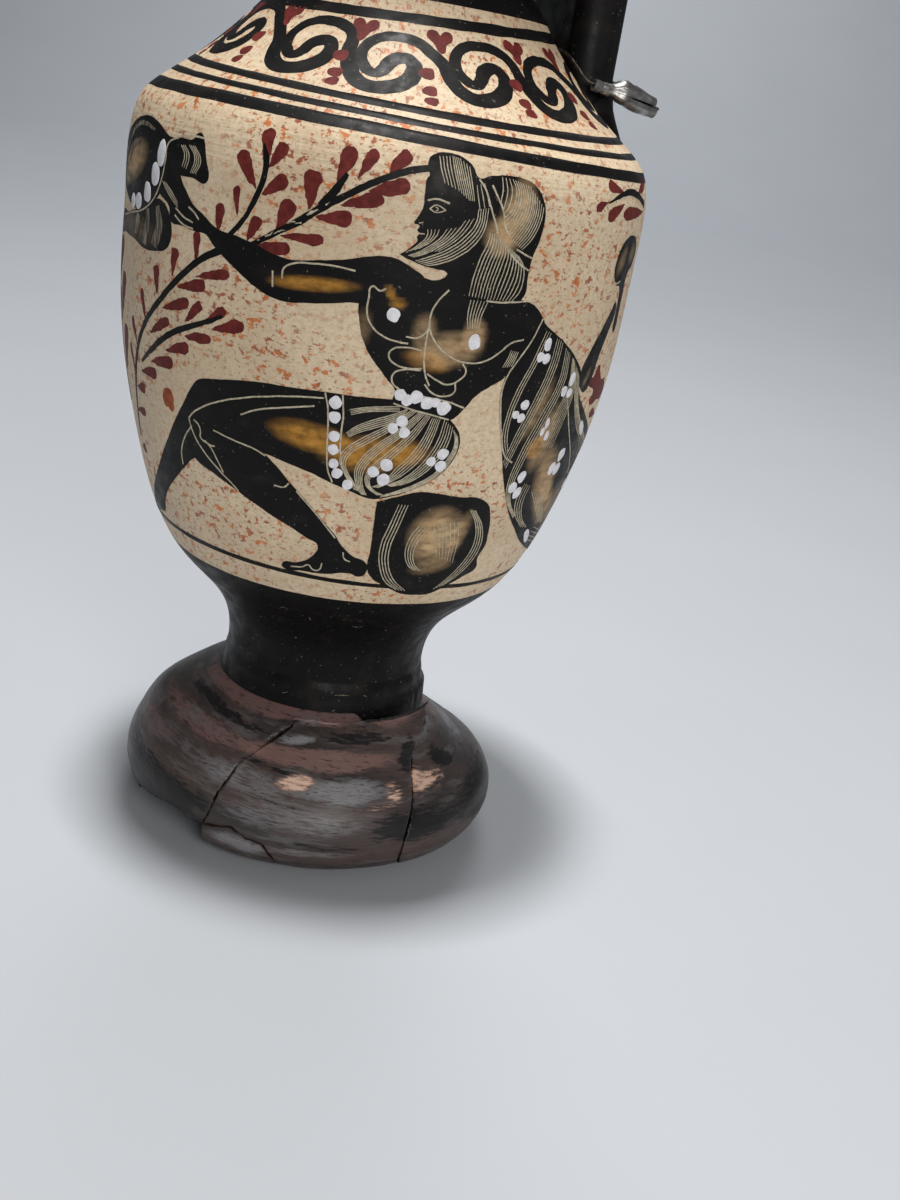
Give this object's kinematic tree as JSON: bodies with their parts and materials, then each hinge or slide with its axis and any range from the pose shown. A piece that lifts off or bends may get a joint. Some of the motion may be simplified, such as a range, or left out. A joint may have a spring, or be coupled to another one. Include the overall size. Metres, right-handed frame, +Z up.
{
  "type": "lekythos",
  "caption": "Slender ceramic oil vessel with a cracked cushion foot, painted belly, narrow neck, cup mouth and strap handle, and a lead seal on a wire ring that slides on the handle.",
  "frame": {"origin": "centre of the standing ring, on the surface the vessel stands on", "axes": "+Z up along the vessel's axis, +X from the axis towards the handle"},
  "size_m": [0.0902, 0.0902, 0.2223],
  "materials": {
    "burnished_clay": "burnished brown and grey slip with brush streaks, half gloss",
    "black_slip": "black slip, half gloss",
    "cream_slip": "cream slip with orange specks, painted, matt",
    "wire": "dull grey wire",
    "lead": "dull lead with bright rubbed places"
  },
  "bodies": {
    "vessel": {"foot": "burnished_clay", "foot_front_sherd": "burnished_clay", "foot_right_sherd": "burnished_clay", "foot_edge_sherd": "burnished_clay", "stem": "black_slip", "belly": "cream_slip", "shoulder": "cream_slip", "neck": "black_slip", "mouth": "black_slip", "handle": "black_slip"},
    "wire": {"seal_wire": "wire"},
    "seal": {"lead_seal": "lead"}
  },
  "joints": [
    {"name": "wire_slide", "type": "slide", "parent": "vessel", "child": "wire", "axis": [0, 0, 1], "range_m": [0, 0.02]},
    {"name": "seal_turn", "type": "hinge", "parent": "wire", "child": "seal", "pos_m": [0.0284, -0.0133, 0.1435], "axis": [0.9863, 0, -0.165], "range_deg": [-75, 75]}
  ]
}
